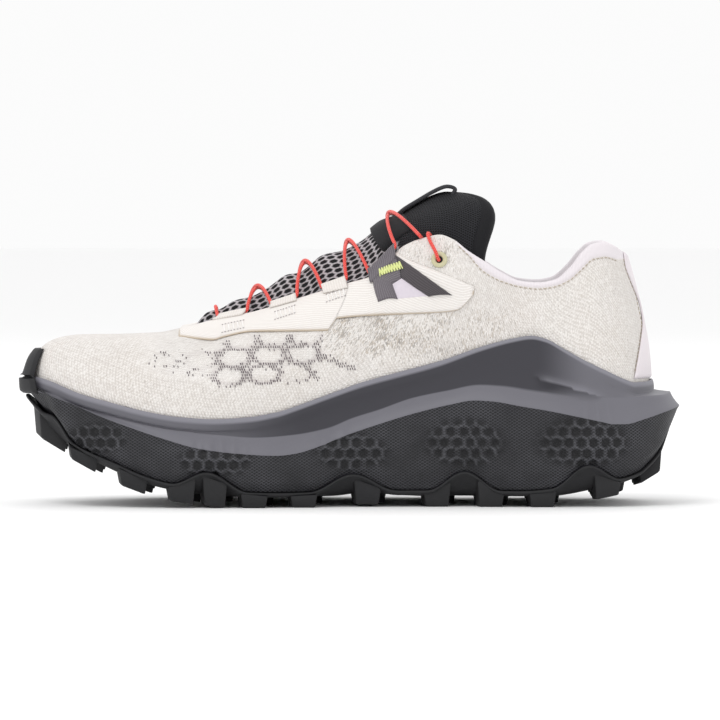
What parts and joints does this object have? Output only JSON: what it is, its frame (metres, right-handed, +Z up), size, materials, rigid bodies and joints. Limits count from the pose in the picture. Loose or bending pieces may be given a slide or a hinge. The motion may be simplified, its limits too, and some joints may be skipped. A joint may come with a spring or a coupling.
{
  "type": "trail running shoe",
  "caption": "Low trail running shoe for the right foot: knitted hollow upper with padded tongue, laces in webbing loops, thick facetted foam midsole and lugged rubber outsole.",
  "frame": {"origin": "Centre of the shoe's box, on the floor under the lug tips", "axes": "+X from toe to heel, +Y from the inner to the outer side of the foot, +Z up"},
  "size_m": [0.3, 0.1084, 0.1454],
  "materials": {
    "outsole_rubber": "black moulded rubber, satin",
    "midsole_foam": "grey moulded foam, matt",
    "insole_fabric": "black fabric over foam",
    "upper_knit": "warm white knit",
    "heel_film": "smooth pale pinkish white textile",
    "eyestay_film": "ribbed cream film",
    "grey_webbing": "taupe grey woven webbing",
    "pale_webbing": "cream woven webbing",
    "eyelet_plastic": "olive cream moulded plastic",
    "tongue_mesh": "black padded mesh",
    "lace_cord": "coral red braided cord"
  },
  "bodies": {
    "root": {"outsole": "outsole_rubber", "toe_bumper": "outsole_rubber", "midsole": "midsole_foam", "insole": "insole_fabric", "upper": "upper_knit", "heel_panel": "heel_film", "eyestay": "eyestay_film", "wing_medial": "grey_webbing", "wing_lateral": "grey_webbing", "eyelet_medial": "eyelet_plastic", "eyelet_lateral": "eyelet_plastic", "tongue": "tongue_mesh", "tongue_tab": "tongue_mesh", "lace_loop_medial_1": "pale_webbing", "lace_loop_medial_2": "pale_webbing", "lace_loop_medial_3": "pale_webbing", "lace_loop_medial_4": "grey_webbing", "lace_loop_lateral_1": "pale_webbing", "lace_loop_lateral_2": "pale_webbing", "lace_loop_lateral_3": "pale_webbing", "lace_loop_lateral_4": "grey_webbing", "lace_bar": "lace_cord", "lace_crossing_1": "lace_cord", "lace_crossing_2": "lace_cord", "lace_crossing_3": "lace_cord", "lace_crossing_4": "lace_cord", "lace_end_medial": "lace_cord", "lace_end_lateral": "lace_cord"}
  },
  "joints": []
}
